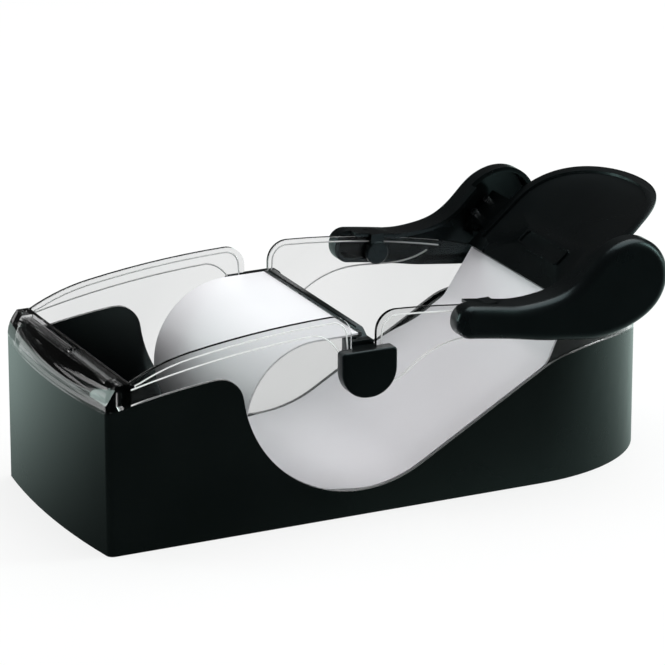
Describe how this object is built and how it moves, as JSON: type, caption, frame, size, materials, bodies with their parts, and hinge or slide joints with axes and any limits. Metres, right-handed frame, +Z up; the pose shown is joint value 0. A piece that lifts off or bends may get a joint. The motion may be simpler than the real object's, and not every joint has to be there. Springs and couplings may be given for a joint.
{
  "type": "sushi rice mold press",
  "caption": "Roll-making rice press: black base with a round valley, clear rail walls, a cross bar, a flexible sheet and a lever that slides along the arched rails.",
  "frame": {"origin": "on the rest plane, under the middle of the cross bar, between the two walls", "axes": "+X from the square bay end to the round lever end, +Z up, +Y to the far wall"},
  "size_m": [0.2835, 0.132, 0.1123],
  "materials": {
    "base": "satin black moulded plastic",
    "lever": "satin black moulded plastic, a little softer than the base",
    "clear": "polished clear plastic, faintly grey",
    "sheet": "smooth milky white flexible film",
    "pad": "soft matte pad",
    "steel": "plain steel"
  },
  "bodies": {
    "base": {"base_shell": "base", "base_plate": "base", "base_screws": "steel", "foot_pad_bay_near": "pad", "foot_pad_bay_far": "pad", "foot_pad_lever_near": "pad", "foot_pad_lever_far": "pad", "rail_frame": "clear", "end_bridge": "clear", "cross_bar": "lever", "saddle_near": "lever", "saddle_far": "lever", "anchor_rod": "steel", "sheet": "sheet"},
    "lever": {"lever_leaf": "lever", "lever_arm_near": "lever", "lever_arm_far": "lever", "guide_near": "lever", "guide_far": "lever", "clamp_strip": "lever", "clamp_screws": "steel", "lever_screws": "steel"}
  },
  "joints": [
    {"name": "lever_travel", "type": "hinge", "parent": "base", "child": "lever", "pos_m": [-0.008, 0, -0.3505], "axis": [0, -1, 0], "range_deg": [0, 18.5], "deforming": ["sheet"]}
  ]
}
